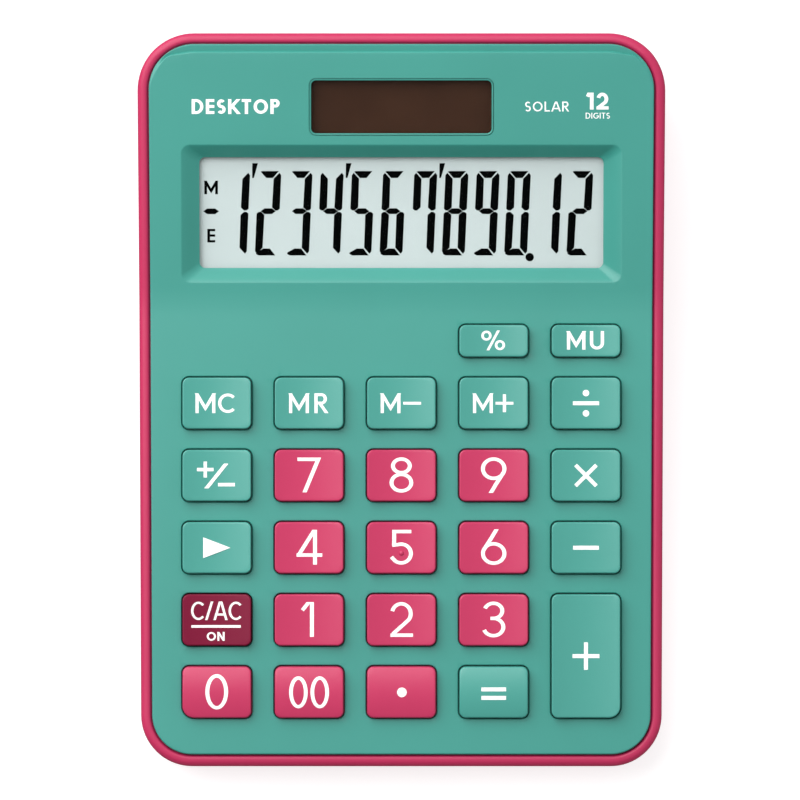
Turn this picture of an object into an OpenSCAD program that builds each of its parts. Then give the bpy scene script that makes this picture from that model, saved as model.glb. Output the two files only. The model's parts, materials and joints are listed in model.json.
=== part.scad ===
// Twelve-digit desk calculator, dual powered, with 26 sprung keys.
// Row frame: +X right, +Y towards the display, +Z up. The origin is on the table, under the middle of the body.

/* [Body] */
// Length from the front edge to the rear edge
body_l = 147; // [145:0.5:149]
// Width across the rear end
rear_w = 106.5; // [105:0.5:109]
// Width across the front end
front_w = 105.4; // [104:0.1:108]
// Height of the crest behind the display
body_h = 29; // [28:0.5:31]
// Radius of the two rear corners
rear_corner_r = 11.5; // [10:0.5:13]
// Radius of the two front corners
front_corner_r = 10.3; // [9:0.1:12]
// Slope of the key field
keypad_tilt = 5; // [4.5:0.1:5.5]
// Slope of the display panel
display_tilt = 12; // [11.5:0.1:12.5]
// Distance from the front edge to the crease between the two slopes
crease_from_front = 93.6; // [93:0.1:94]

/* [Shells] */
// Wall of the top shell
top_wall = 2; // [1.8:0.1:2.1]
// Width of the rounded rim of the bottom shell
rim_w = 2.1; // [1.9:0.1:2.2]
// Groove between the rim and the top shell
seam_gap = 0.2; // [0.15:0.05:0.4]
// How far the rim lies below the top face
rim_drop = 0.5; // [0.4:0.1:1.2]
// Width of the low ledge behind the display panel
ledge_w = 1.85; // [1.6:0.05:2]
// How far that ledge lies below the panel
ledge_drop = 0.45; // [0.4:0.05:0.6]
// Floor of the bottom shell
floor_t = 1.8; // [1.6:0.1:2]
// How far the rubber feet lift the floor off the table
foot_rise = 0.8; // [0.6:0.1:1]

/* [Keys] */
// Distance between key columns
pitch_x = 18.65; // [18.5:0.05:18.8]
// Distance between key rows
pitch_y = 14.6; // [14.5:0.05:14.8]
// Width of every key cap
key_w = 13.85; // [13.4:0.05:14]
// Length of an ordinary key cap
key_l = 10.35; // [10:0.05:10.5]
// Length of the two short key caps beside the display
short_key_l = 6.45; // [6.2:0.05:6.6]
// Clearance around each key cap
key_gap = 0.25; // [0.2:0.05:0.4]
// How far a key cap stands above the key field
key_rise = 2; // [1.8:0.1:2.4]
// Stroke of a key
key_travel = 1.5; // [1.2:0.1:1.5]
// Depth of the finger dish across a cap
dish = 0.8; // [0.3:0.05:0.9]
// Height of the crown along the front-row caps
crown = 0.7; // [0.3:0.05:0.8]

/* [Display] */
// Visible width of the display
view_w = 81.7; // [81:0.1:82]
// Visible length of the display
view_l = 22.5; // [22:0.1:23]
// Width of the bezel's mouth
bezel_w = 88.7; // [88:0.1:89]
// Length of the bezel's mouth
bezel_l = 27.7; // [27.5:0.1:28]
// Depth of the sloped bezel
bezel_depth = 2.3; // [2.2:0.05:2.4]
// Width of the solar cell's opening
solar_w = 36.4; // [36:0.1:37]
// Length of the solar cell's opening
solar_l = 10.7; // [10.4:0.1:11]

/* [Hidden] */
$fn = 48;
eps = 0.01;

// name, column from the left, row from the rear, colour
KEYS = [
    ["key_percent", 3, 0, "teal"], ["key_mark_up", 4, 0, "teal"],
    ["key_memory_clear", 0, 1, "teal"], ["key_memory_recall", 1, 1, "teal"],
    ["key_memory_minus", 2, 1, "teal"], ["key_memory_plus", 3, 1, "teal"],
    ["key_divide", 4, 1, "teal"],
    ["key_sign_change", 0, 2, "teal"], ["key_7", 1, 2, "pink"], ["key_8", 2, 2, "pink"],
    ["key_9", 3, 2, "pink"], ["key_multiply", 4, 2, "teal"],
    ["key_backspace", 0, 3, "teal"], ["key_4", 1, 3, "pink"], ["key_5", 2, 3, "pink"],
    ["key_6", 3, 3, "pink"], ["key_minus", 4, 3, "teal"],
    ["key_clear", 0, 4, "crimson"], ["key_1", 1, 4, "pink"], ["key_2", 2, 4, "pink"],
    ["key_3", 3, 4, "pink"], ["key_plus", 4, 4.5, "teal"],
    ["key_0", 0, 5, "pink"], ["key_00", 1, 5, "pink"], ["key_point", 2, 5, "pink"],
    ["key_equals", 3, 5, "teal"]
];
FEET = ["foot_front_left", "foot_front_right", "foot_rear_left", "foot_rear_right"];
WIRES = ["solar_wire_left", "solar_wire_right", "battery_wire_positive", "battery_wire_negative"];

// Colours
teal = [0.33, 0.65, 0.60];
pink = [0.85, 0.30, 0.44];
crimson = [0.54, 0.13, 0.25];
clear = [0.85, 0.90, 0.92, 0.35];
steel = [0.75, 0.76, 0.78];
black = [0.08, 0.08, 0.09];

// Side profile of the body
front_y = -body_l / 2;
crease_y = front_y + crease_from_front;
crease_blend = 3;
skin_inset = rim_w + seam_gap;
crest_y = body_l / 2 - skin_inset - ledge_w;
crease_z = body_h - (crest_y - crease_y) * tan(display_tilt);
front_z = crease_z - crease_from_front * tan(keypad_tilt);

// Bottom shell
base_z = foot_rise;
floor_z = base_z + floor_t;
belly_run = 3.5;
belly_rise = 6.5;
skirt_t = 1.6;
skirt_h = 3.3;

// Heights above the key field, along its normal
flange_top = -top_wall - 0.2;
flange_bottom = flange_top - 0.8;
board_top = flange_bottom - 2.8;
board_bottom = board_top - 1.2;
sheet_t = 0.8;
key_flange = 0.8;
cap_wall = 1.2;
corner_r = 1.3;
wide_corner_r = 2.3;
front_row_s = 14.9;
short_row_step = 12.6;
dome_r = 4.2;
dome_top = flange_bottom - 0.02;
dome_foot_r = dome_r + 0.4;
plunger_r = 2.2;
board_front_s = 10;
board_rear_s = 96;
board_half_w = 46;
boss_r = 2.2;
board_bosses = [[-1.5 * pitch_x, 22.2], [0.5 * pitch_x, 22.2], [-1.5 * pitch_x, 66],
                [1.5 * pitch_x, 66], [-40, 93.5], [40, 93.5]];

// Heights below the display panel, along its normal
window_t = 1.05;
glass_t = 0.7;
view_s = 17.75;
solar_s = 39.35;
solar_lip = 0.7;
lcd_top = -bezel_depth - window_t - 0.15;
lcd_mid = lcd_top - glass_t;
lcd_bottom = lcd_mid - glass_t;
holder_top = lcd_bottom - 0.2;
holder_t = 1.2;
lcd_w = 86;
ledge_s = 2.6;
rear_glass_s = 5.6;
lcd_rear_s = 32.4;
holder_bosses = [[-45.5, 8.5], [45.5, 8.5], [-45.5, 28], [45.5, 28]];

// Case screws: x, y, seat height, top of the bottom shell's post, tip height, post radius, head radius
case_screw_sites = [
    [-43.6, -66.7, 2.8, 5, 8.5, 2.6, 1.9], [43.6, -66.7, 2.8, 5, 8.5, 2.6, 1.9],
    [-44, 57.5, 11, 12.5, 19, 3.5, 2.2], [44, 57.5, 11, 12.5, 19, 3.5, 2.2]
];
foot_r = 4;
foot_sites = [[-42, -55.5], [42, -55.5], [-42, 65], [42, 65]];

// Button cell
cell_x = 28;
cell_y = 46;
cell_r = 5.8;
cell_h = 5.4;
cell_z = floor_z + 1.05;
pocket_r = 6.2;
pocket_wall = 1.5;
strip_t = 0.3;

// ---------- outlines ----------

function arc(centre, r, from, to, steps = 6) =
    [for (i = [0 : steps]) let (a = from + (to - from) * i / steps)
        [centre[0] + r * cos(a), centre[1] + r * sin(a)]];

// Rounded rectangle; the two front corners may have radii of their own.
function rounded(w, l, r, front_left = 0, front_right = 0) =
    let (a = max(r, front_left), b = max(r, front_right))
    concat(arc([a - w / 2, a - l / 2], a, 180, 270), arc([w / 2 - b, b - l / 2], b, 270, 360),
           arc([w / 2 - r, l / 2 - r], r, 0, 90), arc([r - w / 2, l / 2 - r], r, 90, 180));

front_centre = [front_w / 2 - front_corner_r, front_y + front_corner_r];
rear_centre = [rear_w / 2 - rear_corner_r, body_l / 2 - rear_corner_r];
side_step = rear_centre - front_centre;
side_angle = atan2(side_step[1], side_step[0])
    - acos((front_corner_r - rear_corner_r) / norm(side_step));

// Right half of the body's plan, front to rear, moved in by d
function half_plan(d) = concat(arc(front_centre, front_corner_r - d, -90, side_angle, 12),
                               arc(rear_centre, rear_corner_r - d, side_angle, 90, 12));
function plan(d) = let (h = half_plan(d), n = len(h) - 1)
    concat(h, [for (i = [n : -1 : 0]) [-h[i][0], h[i][1]]]);

function key_plane_z(y) = front_z + (y - front_y) * tan(keypad_tilt);
function display_plane_z(y) = crease_z + (y - crease_y) * tan(display_tilt);
function top_z(y) = y < crease_y - crease_blend ? key_plane_z(y)
    : y > crease_y + crease_blend ? display_plane_z(y)
    : key_plane_z(y) + (tan(display_tilt) - tan(keypad_tilt))
        * pow(y - crease_y + crease_blend, 2) / (4 * crease_blend);
function rim_z(y) = top_z(min(y, crest_y)) - rim_drop;

profile_ys = concat([front_y - 1], [for (i = [-4 : 4]) crease_y + crease_blend * i / 4], [crest_y]);

// Points along the belly of the bottom shell, from the wall to the floor
function belly(half, run, rise, low) =
    [for (i = [0 : 6]) let (a = 15 * i)
        [half - run * (1 - cos(a)), low + rise * (1 - sin(a))]];

// ---------- helpers ----------

module on_keypad() { translate([0, front_y, front_z]) rotate([keypad_tilt, 0, 0]) children(); }
module on_display() { translate([0, crease_y, crease_z]) rotate([display_tilt, 0, 0]) children(); }
module along_x(w) { rotate([90, 0, 90]) linear_extrude(height = w, center = true) children(); }
module along_y(l) { rotate([90, 0, 0]) linear_extrude(height = l, center = true) children(); }

module slab(points, low, high) {
    translate([0, 0, low]) linear_extrude(height = high - low) polygon(points);
}

module post(r, low, high) { translate([0, 0, low]) cylinder(r = r, h = high - low); }

// Self-tapping pan-head screw, driven upwards, with a cross recess in its head
module screw(head_r, head_h, shank_r, seat, tip) {
    slot = head_r * 1.1;
    difference() {
        union() {
            post(head_r, seat - head_h, seat);
            post(shank_r, seat - eps, tip - shank_r);
            translate([0, 0, tip - shank_r]) cylinder(r1 = shank_r, r2 = shank_r / 3, h = shank_r);
        }
        for (a = [0, 90]) rotate(a)
            translate([-slot / 2, -0.2, seat - head_h - eps]) cube([slot, 0.4, 0.6]);
    }
}

function row_s(row) = row == 0 ? front_row_s + 4 * pitch_y + short_row_step
    : front_row_s + (5 - row) * pitch_y;
function key_x(k) = (k[1] - 2) * pitch_x;
function key_length(k) = k[2] == 0 ? short_key_l : k[2] == 4.5 ? key_l + pitch_y : key_l;
function is_crowned(k) = k[2] == 5;
function key_plan(k, grow) = rounded(key_w + 2 * grow, key_length(k) + 2 * grow, corner_r + grow,
    k[0] == "key_0" ? wide_corner_r + grow : 0, k[0] == "key_plus" ? wide_corner_r + grow : 0);

module at_key(k) { on_keypad() translate([key_x(k), row_s(k[2]), 0]) children(); }
module at_each(sites) { for (p = sites) translate([p[0], p[1], 0]) children(); }

// ---------- shells ----------

module skin_volume(inset, thickness) {
    ys = concat(profile_ys, [body_l / 2 - skin_inset]);
    tops = concat([for (y = profile_ys) [y, top_z(y) - thickness]],
                  [for (y = [crest_y + 0.3, crest_y + ledge_w]) [y, top_z(y) - ledge_drop - thickness]]);
    lows = [for (i = [len(ys) - 1 : -1 : 0]) [ys[i], rim_z(ys[i]) - skirt_h - thickness]];
    intersection() {
        slab(plan(inset), 0, body_h + 1);
        along_x(rear_w + 2) polygon(concat(tops, lows));
    }
}

module bezel_funnel() {
    mouth = rounded(bezel_w, bezel_l, 1.7);
    throat = rounded(view_w, view_l, 1.2);
    n = len(mouth);
    deep = bezel_depth + 0.02;
    high = 0.02;
    points = concat([for (p = throat) [p[0], p[1], -deep]], [for (p = mouth) [p[0], p[1], high]]);
    sides = [for (i = [0 : n - 1], half = [0, 1]) let (j = (i + 1) % n)
        half == 0 ? [i, n + i, n + j] : [i, n + j, j]];
    polyhedron(points, concat([[for (i = [0 : n - 1]) i]], sides, [[for (i = [n - 1 : -1 : 0]) n + i]]));
}

module top_case() {
    color(teal) difference() {
        union() {
            difference() {
                skin_volume(skin_inset, 0);
                skin_volume(skin_inset + skirt_t, top_wall);
            }
            on_display() slab([[-47.5, 1.5], [47.5, 1.5], [47.5, 34], [-47.5, 34]],
                              lcd_top + 0.05, -top_wall / 2);
            on_display() at_each(holder_bosses) post(1.9, holder_top, -top_wall / 2);
            on_keypad() at_each(board_bosses) post(boss_r, board_top, -top_wall / 2);
            for (c = case_screw_sites) translate([c[0], c[1], 0])
                post(c[5] - 0.4, c[3] + 0.05, top_z(c[1]) - top_wall / 2);
        }
        for (k = KEYS) at_key(k) slab(key_plan(k, key_gap), -top_wall - 1, 1);
        on_display() translate([0, view_s, 0]) {
            bezel_funnel();
            slab(rounded(view_w, view_l, 1.2), -bezel_depth - 2, -bezel_depth + 0.1);
            slab(rounded(85.4, 26.4, 1.7), -bezel_depth - 2, -bezel_depth);
        }
        on_display() translate([0, solar_s, 0]) {
            slab(rounded(solar_w, solar_l, 1), -top_wall - 1, 1);
            slab(rounded(39.4, 13.4, 1), -top_wall - 1, -solar_lip);
        }
        on_display() at_each(holder_bosses) post(0.8, holder_top - 1, -top_wall - 0.4);
        on_keypad() at_each(board_bosses) post(0.8, board_top - 1, -top_wall - 0.4);
        for (c = case_screw_sites) translate([c[0], c[1], 0])
            post(0.9, c[3] - 1, c[4] + 0.3);
    }
}

module bowl(inset, low, run, rise, top_offset) {
    side = belly(body_l / 2 - inset, run, rise, low);
    across = belly(rear_w / 2 - inset, run, rise, low);
    ys = [for (y = profile_ys) if (y > front_y) y];
    intersection() {
        slab(plan(inset), low, body_h + 2);
        along_x(rear_w + 2) polygon(concat(
            [for (i = [6 : -1 : 0]) side[i]],
            [[side[0][0], rim_z(crest_y) + top_offset]],
            [for (i = [len(ys) - 1 : -1 : 0]) [ys[i], rim_z(ys[i]) + top_offset]],
            [[-side[0][0], rim_z(front_y) + top_offset]],
            [for (p = side) [-p[0], p[1]]]));
        along_y(body_l + 2) polygon(concat(
            [for (i = [6 : -1 : 0]) across[i]], [[across[0][0], body_h + 3]],
            [[-across[0][0], body_h + 3]], [for (p = across) [-p[0], p[1]]]));
    }
}

module bottom_case() {
    color(pink) difference() {
        union() {
            difference() {
                bowl(0, base_z, belly_run, belly_rise, 0);
                bowl(rim_w, floor_z, belly_run - 0.5, belly_rise - 1.3, 1);
            }
            for (c = case_screw_sites) translate([c[0], c[1], 0]) post(c[5], floor_z - eps, c[3]);
            translate([cell_x, cell_y, 0]) difference() {
                post(pocket_r + pocket_wall, floor_z - eps, floor_z + 5.2);
                post(pocket_r, floor_z, floor_z + 6);
                translate([-3.2, 0, floor_z]) cube([6.4, 10, 6]);
                translate([-10, -3.2, floor_z]) cube([10, 6.4, 6]);
            }
        }
        for (c = case_screw_sites) translate([c[0], c[1], 0]) {
            post(c[6] + 0.3, base_z - 1, c[2]);
            post(1.15, base_z, c[3] + 1);
        }
        at_each(foot_sites) post(foot_r + 0.1, base_z - 1, base_z + 0.8);
        slab(rounded(46, 20, 1), base_z - 1, base_z + 0.2);
    }
}

// ---------- keys ----------

module key_cap(k) {
    tint = k[3] == "pink" ? pink : k[3] == "teal" ? teal : crimson;
    l = key_length(k);
    dish_r = pow(key_w / 2, 2) / (2 * dish);
    crown_r = pow(l / 2, 2) / (2 * crown);
    color(tint) at_key(k) union() {
        difference() {
            union() {
                if (is_crowned(k)) intersection() {
                    slab(key_plan(k, 0), flange_top - eps, key_rise);
                    translate([0, 0, key_rise - crown_r]) rotate([0, 90, 0])
                        cylinder(r = crown_r, h = key_w + 2, center = true, $fn = 180);
                }
                else difference() {
                    slab(key_plan(k, 0), flange_top - eps, key_rise);
                    translate([0, 0, key_rise + dish_r - dish]) rotate([90, 0, 0])
                        cylinder(r = dish_r, h = l + 2, center = true, $fn = 180);
                }
                slab(key_plan(k, key_flange), flange_bottom, flange_top);
            }
            slab(rounded(key_w - 2 * cap_wall, l - 2 * cap_wall, 0.6),
                 flange_bottom - 1, key_rise - crown - cap_wall);
        }
        post(k[2] == 0 ? 1.8 : plunger_r, flange_bottom, key_rise - crown - cap_wall / 2);
        if (k[0] == "key_5") post(0.55, key_rise - dish - 0.3, key_rise - dish + 0.25);
    }
}

module dome() {
    rotate_extrude() polygon([
        [3.4, board_top], [dome_foot_r, board_top], [dome_foot_r, board_top + sheet_t],
        [dome_r, board_top + sheet_t], [2.6, dome_top - 0.6], [2.6, dome_top],
        [0, dome_top], [0, board_top + key_travel], [1.5, board_top + key_travel],
        [1.5, dome_top - 0.9], [1.9, dome_top - 0.9], [3.4, board_top + sheet_t - 0.3]]);
}

module rubber_keypad() {
    color([0.72, 0.74, 0.74]) union() {
        on_keypad() difference() {
            translate([0, (board_front_s + 91) / 2, 0])
                slab(rounded(91, 91 - board_front_s, 3), board_top, board_top + sheet_t);
            for (k = KEYS) translate([key_x(k), row_s(k[2]), 0])
                post(dome_foot_r - 0.1, board_top - 1, board_top + 2);
            at_each([for (b = board_bosses) if (b[1] < 91) b])
                post(boss_r + 0.4, board_top - 1, board_top + 2);
        }
        for (k = KEYS) at_key(k) dome();
    }
}

// ---------- electronics ----------

module circuit_board() {
    mid = (board_front_s + board_rear_s) / 2;
    color([0.12, 0.38, 0.22]) on_keypad() difference() {
        translate([0, mid, 0])
            slab(rounded(2 * board_half_w, board_rear_s - board_front_s, 2), board_bottom, board_top);
        at_each(board_bosses) post(1, board_bottom - 1, board_top + 1);
        for (x = [-board_half_w, board_half_w]) translate([x, mid, 0])
            post(1.6, board_bottom - 1, board_top + 1);
    }
}

// Printed carbon contacts, two half discs under each dome
module contact_pads() {
    color(black) for (k = KEYS, side = [-1, 1]) at_key(k) intersection() {
        post(2.4, board_top, board_top + 0.05);
        translate([side > 0 ? 0.25 : -3.25, -3, board_top - 1]) cube([3, 6, 2]);
    }
}

// Epoxy cap over the bonded chip, on the underside of the board
module chip_cover() {
    cap_r = 6;
    cap_h = 1.7;
    ball_r = (cap_r * cap_r + cap_h * cap_h) / (2 * cap_h);
    color(black) on_keypad() translate([-14, 58, board_bottom]) intersection() {
        translate([0, 0, ball_r - cap_h]) sphere(r = ball_r, $fn = 96);
        post(cap_r + 1, -cap_h - 1, 0);
    }
}

module capacitor() {
    can_r = 2.5;
    color([0.10, 0.12, 0.35]) on_keypad() translate([-30, 84, board_bottom - can_r - 0.1]) {
        rotate([0, 90, 0]) cylinder(r = can_r, h = 8, center = true);
        for (y = [-1, 1]) {
            translate([4 - eps, y, 0]) rotate([0, 90, 0]) cylinder(r = 0.25, h = 1.5);
            translate([5.25, y, -0.25]) cylinder(r = 0.25, h = can_r + 0.35);
        }
    }
}

module resistors() {
    color(black) on_keypad() for (i = [0 : 3])
        translate([-2 + 4 * i, 76, board_bottom - 0.6]) cube([2, 1.25, 0.6]);
}

module display_window() {
    color(clear) on_display() translate([0, view_s, 0])
        slab(rounded(85, 26, 1.5), -bezel_depth - window_t, -bezel_depth);
}

module solar_window() {
    color(clear) on_display() translate([0, solar_s, 0])
        slab(rounded(39, 13, 0.8), -solar_lip - 1, -solar_lip);
}

module solar_panel() {
    color([0.28, 0.20, 0.15]) on_display() translate([-19, solar_s - 6, -solar_lip - 2.15])
        cube([38, 12, 1.1]);
}

module solar_cushion() {
    color(black) on_display() translate([-13, solar_s - 4.5, holder_top])
        cube([26, 9, -solar_lip - 2.15 - holder_top]);
}

module lcd_front_glass() {
    color(clear) on_display() translate([-lcd_w / 2, ledge_s, lcd_mid])
        cube([lcd_w, lcd_rear_s - ledge_s, glass_t]);
}

module lcd_rear_glass() {
    color(clear) on_display() translate([-lcd_w / 2, rear_glass_s, lcd_bottom])
        cube([lcd_w, lcd_rear_s - rear_glass_s, glass_t]);
}

module lcd_reflector() {
    color([0.83, 0.88, 0.87]) on_display() translate([-42.5, 6, holder_top])
        cube([85, 26, lcd_bottom - holder_top]);
}

module lcd_holder() {
    low = holder_top - holder_t;
    color([0.88, 0.88, 0.86]) on_display() difference() {
        union() {
            slab([[-47.5, rear_glass_s], [47.5, rear_glass_s], [47.5, 33.5], [22, 33.5], [22, 46.5],
                  [-22, 46.5], [-22, 33.5], [-47.5, 33.5]], low, holder_top);
            for (x = [-30, 0, 30]) translate([x - 0.6, 7, low - 1.5]) cube([1.2, 25, 1.5 + eps]);
            for (s = [10, 30]) translate([-40, s - 0.6, low - 1.5]) cube([80, 1.2, 1.5 + eps]);
        }
        at_each(holder_bosses) post(1, low - 1, holder_top + 1);
        at_each([[-16, solar_s], [16, solar_s]]) post(1.8, low - 1, holder_top + 1);
    }
}

// A point given along the key field or the display panel, as [y, z]
function keypad_yz(s, h) = [front_y + s * cos(keypad_tilt) - h * sin(keypad_tilt),
                            front_z + s * sin(keypad_tilt) + h * cos(keypad_tilt)];
function display_yz(s, h) = [crease_y + s * cos(display_tilt) - h * sin(display_tilt),
                             crease_z + s * sin(display_tilt) + h * cos(display_tilt)];

function bezier(a, b, c, d, t) = pow(1 - t, 3) * a + 3 * t * pow(1 - t, 2) * b
    + 3 * t * t * (1 - t) * c + pow(t, 3) * d;

// Flat film from the glass ledge down to the rear edge of the board
module lcd_ribbon_cable() {
    film = 0.16;
    ledge = display_yz(2.8, lcd_mid - film / 2 - 0.01);
    land = keypad_yz(94.6, board_top + film / 2 + 0.01);
    along_panel = [cos(display_tilt), sin(display_tilt)];
    along_field = [cos(keypad_tilt), sin(keypad_tilt)];
    steps = 10;
    path = concat([ledge + 2.4 * along_panel],
        [for (i = [0 : steps]) bezier(ledge, ledge - 1.6 * along_panel,
                                      land + 1.6 * along_field, land, i / steps)],
        [land - 2.4 * along_field]);
    n = len(path) - 1;
    side = [for (i = [0 : n]) let (t = path[min(i + 1, n)] - path[max(i - 1, 0)])
        [-t[1], t[0]] * film / 2 / norm(t)];
    color([0.78, 0.62, 0.30]) along_x(64) polygon(concat(
        [for (i = [0 : n]) path[i] + side[i]], [for (i = [n : -1 : 0]) path[i] - side[i]]));
}

module battery() {
    color(steel) translate([cell_x, cell_y, cell_z]) union() {
        post(cell_r - 0.9, 0, 0.5);
        post(cell_r, 0.4, cell_h);
    }
}

// Bent strips; each is a side profile drawn out to the strip's width
module battery_contact_negative() {
    color([0.85, 0.70, 0.40]) translate([cell_x, cell_y, floor_z]) along_x(5) polygon([
        [-4, 0], [9, 0], [9, 3.2], [9 - strip_t, 3.2], [9 - strip_t, strip_t], [-3.6, strip_t],
        [0.4, cell_z - floor_z - 0.32], [1.4, cell_z - floor_z - 0.32],
        [1.4, cell_z - floor_z - 0.02], [0.3, cell_z - floor_z - 0.02], [-4, strip_t]]);
}

module battery_contact_positive() {
    over = cell_z + cell_h + 0.02 - floor_z;
    color([0.85, 0.70, 0.40]) translate([cell_x, cell_y, floor_z]) along_y(5) polygon([
        [-9.5, 0], [-7.2, 0], [-7.2, over + 0.4], [-1.5, over], [-1.5, over + strip_t],
        [-7.2 - strip_t, over + 0.4 + strip_t], [-7.2 - strip_t, strip_t], [-9.5, strip_t]]);
}

// Wire routes: start, two points that shape the bend, end
wire_r = 0.5;
solar_low = -solar_lip - 2.15 - wire_r - 0.02;
board_low = board_bottom - wire_r - 0.02;
function place(x, yz) = [x, yz[0], yz[1]];
function wire_route(i) =
    i < 2 ? let (side = i == 0 ? -1 : 1)
        [place(16 * side, display_yz(solar_s, solar_low)), place(16 * side, display_yz(solar_s, -14)),
         place(12 * side, keypad_yz(104, -15)), place(12 * side, keypad_yz(92, board_low))]
    : i == 2 ? [[cell_x - 8.4, cell_y, floor_z + strip_t + wire_r + 0.02],
                [cell_x - 16, cell_y, floor_z + 1.5],
                place(18, keypad_yz(112, -14)), place(18, keypad_yz(90, board_low))]
    : [[cell_x, cell_y + 9 + wire_r + 0.02, floor_z + 2.5], [cell_x + 14, cell_y + 12, floor_z + 3],
       place(38, keypad_yz(104, -14)), place(30, keypad_yz(90, board_low))];

module wire(i) {
    route = wire_route(i);
    sides = 8;
    rings = 24;
    path = [for (t = [0 : rings]) bezier(route[0], route[1], route[2], route[3], t / rings)];
    points = [for (t = [0 : rings]) let (
            along = path[min(t + 1, rings)] - path[max(t - 1, 0)],
            side = cross(along, [1, 0.3, 0]),
            u = side / norm(side),
            w = cross(along, side),
            v = w / norm(w))
        for (j = [0 : sides - 1]) path[t] + wire_r * (u * cos(360 * j / sides) + v * sin(360 * j / sides))];
    faces = concat([[for (j = [0 : sides - 1]) j]],
        [for (t = [0 : rings - 1], j = [0 : sides - 1], half = [0, 1])
            let (a = t * sides + j, b = t * sides + (j + 1) % sides)
            half == 0 ? [a, a + sides, b + sides] : [a, b + sides, b]],
        [[for (j = [sides - 1 : -1 : 0]) rings * sides + j]]);
    color(i % 2 == 0 ? [0.75, 0.1, 0.1] : black) polyhedron(points, faces);
}

// ---------- fasteners, feet and label ----------

module case_screws() {
    color(steel) for (c = case_screw_sites) translate([c[0], c[1], 0])
        screw(c[6], 1.3, 0.85, c[2], c[4]);
}

module board_screws() {
    color(steel) {
        on_keypad() at_each(board_bosses) screw(1.7, 1, 0.75, board_bottom, -top_wall - 0.6);
        on_display() at_each(holder_bosses) screw(1.7, 1, 0.75, holder_top - holder_t, -top_wall - 0.6);
    }
}

module foot(i) {
    color(black) translate([foot_sites[i][0], foot_sites[i][1], 0]) union() {
        post(foot_r, 0.4, base_z + 0.78);
        cylinder(r1 = foot_r - 0.4, r2 = foot_r, h = 0.4 + eps);
    }
}

module rating_label() {
    color([0.80, 0.81, 0.82]) slab(rounded(45, 19, 0.8), base_z + 0.08, base_z + 0.19);
}

// ---------- drawing ----------

top_case();
bottom_case();
display_window();
solar_window();
solar_panel();
solar_cushion();
lcd_front_glass();
lcd_rear_glass();
lcd_reflector();
lcd_holder();
lcd_ribbon_cable();
rubber_keypad();
circuit_board();
contact_pads();
chip_cover();
capacitor();
resistors();
battery();
battery_contact_positive();
battery_contact_negative();
case_screws();
board_screws();
rating_label();
for (i = [0 : len(FEET) - 1]) foot(i);
for (i = [0 : len(WIRES) - 1]) wire(i);
for (k = KEYS) key_cap(k);
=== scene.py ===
"""The looks of the desk calculator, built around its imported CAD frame.

Lengths are in millimetres up to Mesh.build(), which turns them into metres. The key field and the display panel
each have their own flat coordinates: x to the right, s up the slope and h out of the surface.
"""
import json
import math

import bmesh
import bpy
import numpy as np
from mathutils import Euler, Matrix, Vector
from mathutils.geometry import delaunay_2d_cdt


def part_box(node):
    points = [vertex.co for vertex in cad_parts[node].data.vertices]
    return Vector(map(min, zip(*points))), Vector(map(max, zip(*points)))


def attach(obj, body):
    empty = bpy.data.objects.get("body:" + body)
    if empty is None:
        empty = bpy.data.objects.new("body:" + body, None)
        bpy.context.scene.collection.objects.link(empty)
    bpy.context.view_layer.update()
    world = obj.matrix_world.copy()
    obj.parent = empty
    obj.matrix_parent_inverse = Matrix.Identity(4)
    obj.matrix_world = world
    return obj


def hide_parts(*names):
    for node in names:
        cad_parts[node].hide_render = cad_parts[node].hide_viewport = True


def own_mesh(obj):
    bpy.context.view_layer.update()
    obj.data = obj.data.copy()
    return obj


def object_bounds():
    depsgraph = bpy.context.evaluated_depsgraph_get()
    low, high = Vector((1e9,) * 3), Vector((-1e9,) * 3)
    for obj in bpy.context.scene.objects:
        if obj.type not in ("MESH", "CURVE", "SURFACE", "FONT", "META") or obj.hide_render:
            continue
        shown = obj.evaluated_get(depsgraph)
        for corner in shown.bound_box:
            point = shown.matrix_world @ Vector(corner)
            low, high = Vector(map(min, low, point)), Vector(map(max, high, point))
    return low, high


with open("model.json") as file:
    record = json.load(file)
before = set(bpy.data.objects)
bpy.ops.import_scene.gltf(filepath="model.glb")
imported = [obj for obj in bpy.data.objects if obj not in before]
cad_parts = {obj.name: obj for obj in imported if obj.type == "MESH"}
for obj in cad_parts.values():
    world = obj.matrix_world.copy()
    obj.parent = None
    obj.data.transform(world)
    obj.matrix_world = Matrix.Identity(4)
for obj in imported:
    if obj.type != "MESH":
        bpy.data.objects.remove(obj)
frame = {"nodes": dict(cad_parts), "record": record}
cad_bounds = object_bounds()

MM = 0.001

# ---------- dimensions shared with the CAD model ----------

BODY_L = (cad_bounds[1][1] - cad_bounds[0][1]) / MM
REAR_W = (cad_bounds[1][0] - cad_bounds[0][0]) / MM
BODY_H = cad_bounds[1][2] / MM
FRONT_W = 105.4
REAR_CORNER_R = 11.5
FRONT_CORNER_R = 10.3
KEYPAD_TILT = 5
DISPLAY_TILT = 12
CREASE_FROM_FRONT = 93.6
CREASE_BLEND = 3
TOP_WALL = 2
RIM_W = 2.1
SEAM_GAP = 0.2
RIM_DROP = 0.5
LEDGE_W = 1.85
SKIRT_T = 1.6
SKIRT_H = 3.3
BASE_Z = 0.8
FLOOR_Z = 2.6
BELLY_RUN = 3.5
BELLY_RISE = 6.5
KEY_GAP = 0.25
KEY_FLANGE = 0.8
KEY_CORNER_R = 1.3
WIDE_CORNER_R = 2.3
KEY_WALL = 1.2
FLANGE_T = 0.8
DISH = 0.8
CROWN = 0.7
PLUNGER_R = 2.2
SHORT_PLUNGER_R = 1.8
VIEW = (81.7, 22.5)
BEZEL = (88.7, 27.7)
BEZEL_DEPTH = 2.3
VIEW_S = 17.75
SOLAR = (36.4, 10.7)
SOLAR_S = 39.35
SOLAR_LIP = 0.7
LCD_TOP = -3.5
BOSS_R = 2.2
PITCH_X = 18.65
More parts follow.
